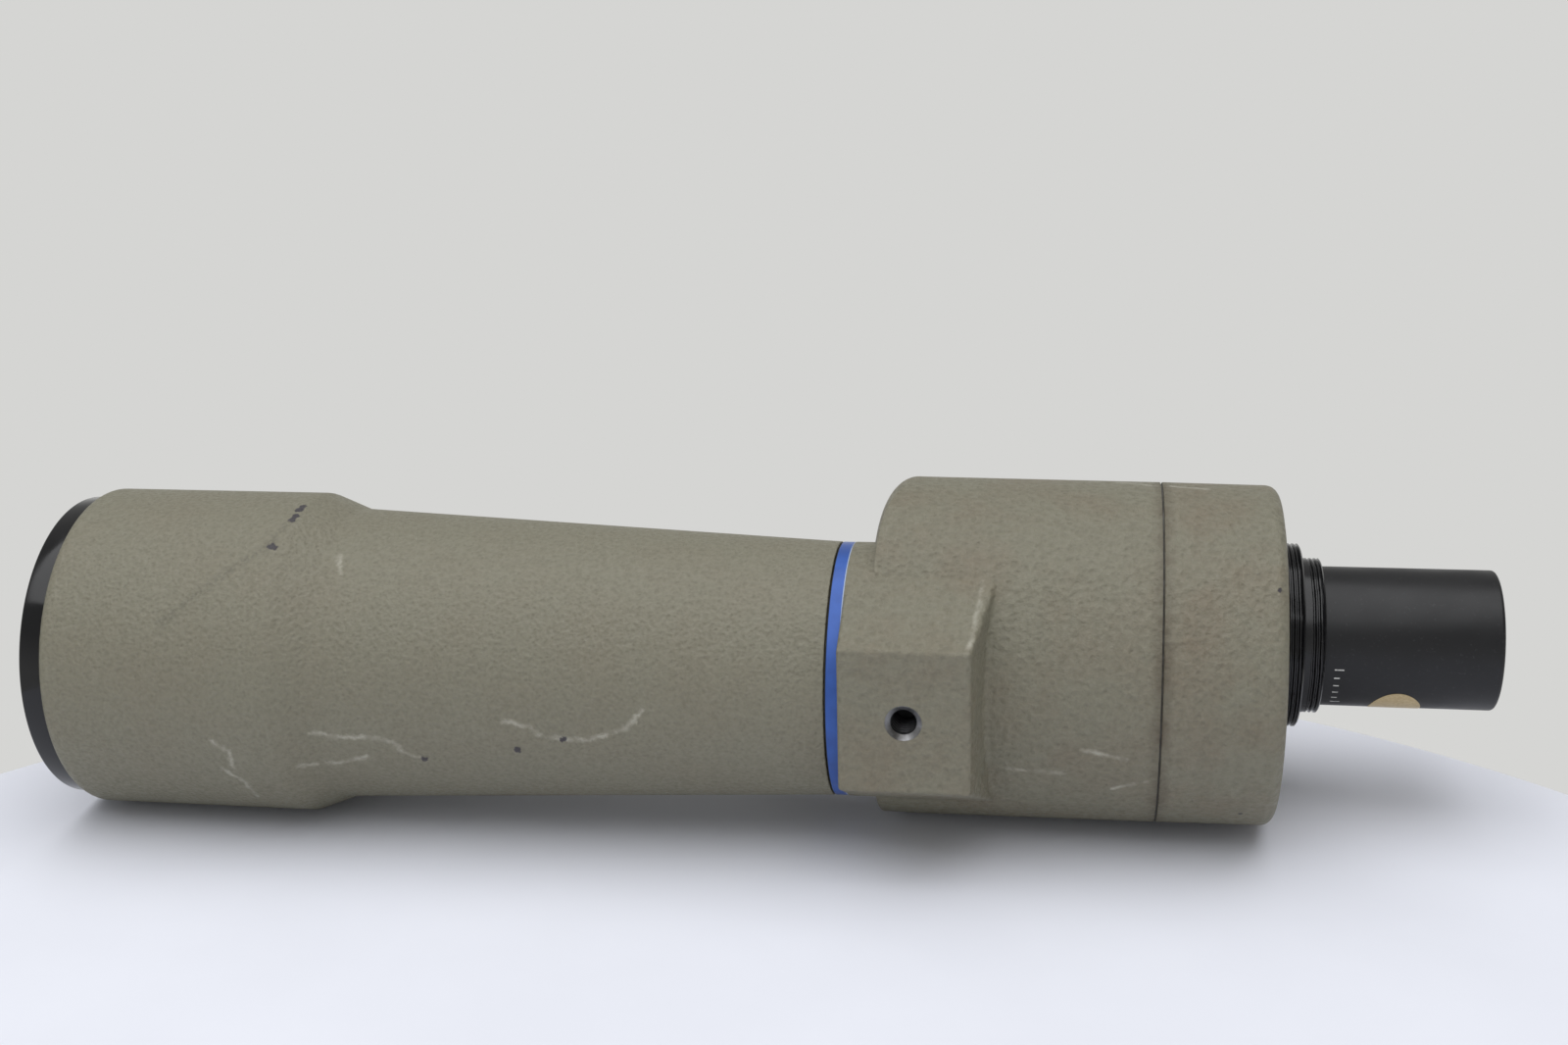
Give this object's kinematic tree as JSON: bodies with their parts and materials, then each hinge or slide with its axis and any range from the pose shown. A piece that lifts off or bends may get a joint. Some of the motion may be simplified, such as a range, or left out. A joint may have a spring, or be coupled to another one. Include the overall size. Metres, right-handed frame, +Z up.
{
  "type": "spotting scope",
  "caption": "Straight-view prismatic spotting scope on its side: flared barrel, round offset prism housing with tripod foot, focusing knob, and a screw-in eyepiece tube.",
  "frame": {"origin": "centre of the tripod socket's mouth, on the face of the foot", "axes": "+X along the optical axis towards the eyepiece, -Y out of the tripod foot, +Z up with the scope lying on its side"},
  "size_m": [0.3137, 0.0895, 0.0748],
  "materials": {
    "olive_paint": "wrinkled hammer-finish enamel on cast aluminium",
    "black_anodised": "satin black anodised aluminium",
    "gloss_black": "polished black anodised aluminium",
    "blue_enamel": "satin blue anodised band",
    "flat_black": "flat black anodised, against stray light",
    "coated_glass": "polished, coated optical glass",
    "prism_glass": "polished optical glass with ground sides",
    "steel": "bright turned steel",
    "spring_steel": "blued sheet steel",
    "brass": "turned brass",
    "bronze": "oil-filled bronze",
    "machined_aluminium": "machined, clear anodised",
    "black_screw": "blackened steel",
    "rubber": "moulded, fluted grip",
    "seal_rubber": "moulded O-ring and gasket"
  },
  "bodies": {
    "scope": {"barrel": "olive_paint", "front_ring": "gloss_black", "objective_cell": "flat_black", "objective_front_lens": "coated_glass", "objective_rear_lens": "coated_glass", "objective_spacer": "flat_black", "objective_retainer": "flat_black", "front_baffle": "flat_black", "rear_baffle": "flat_black", "joint_seal": "seal_rubber", "trim_ring": "blue_enamel", "prism_housing": "olive_paint", "tripod_insert": "steel", "rear_cover": "olive_paint", "cover_gasket": "seal_rubber", "cover_screws": "black_screw", "front_prism": "prism_glass", "front_prism_strap": "spring_steel", "prism_plate": "machined_aluminium", "plate_screws": "steel", "guide_rods": "steel", "focus_bush": "bronze", "eyepiece_collar": "black_anodised", "collar_nut": "flat_black", "eyepiece_tube": "black_anodised", "field_lens": "coated_glass", "lens_spacer": "flat_black", "field_stop": "flat_black", "eye_lens": "coated_glass", "eye_retainer": "flat_black"},
    "focus_control": {"focus_shaft": "steel", "shaft_clip": "spring_steel", "focus_knob": "black_anodised", "knob_grip": "rubber", "knob_screw": "black_screw"},
    "focusing_carriage": {"prism_carriage": "machined_aluminium", "focus_nut": "brass", "rear_prism": "prism_glass", "rear_prism_strap": "spring_steel"}
  },
  "joints": [
    {"name": "focus_turn", "type": "hinge", "parent": "scope", "child": "focus_control", "pos_m": [-0.0282, 0.0667, -0.0177], "axis": [1, 0, 0], "range_deg": [-300, 480]},
    {"name": "carriage_slide", "type": "slide", "parent": "scope", "child": "focusing_carriage", "axis": [1, 0, 0], "range_m": [-0.0025, 0.004]}
  ],
  "couplings": [
    {"joint": "focus_turn", "follows": "carriage_slide", "rad_per_m": 2094.4}
  ]
}
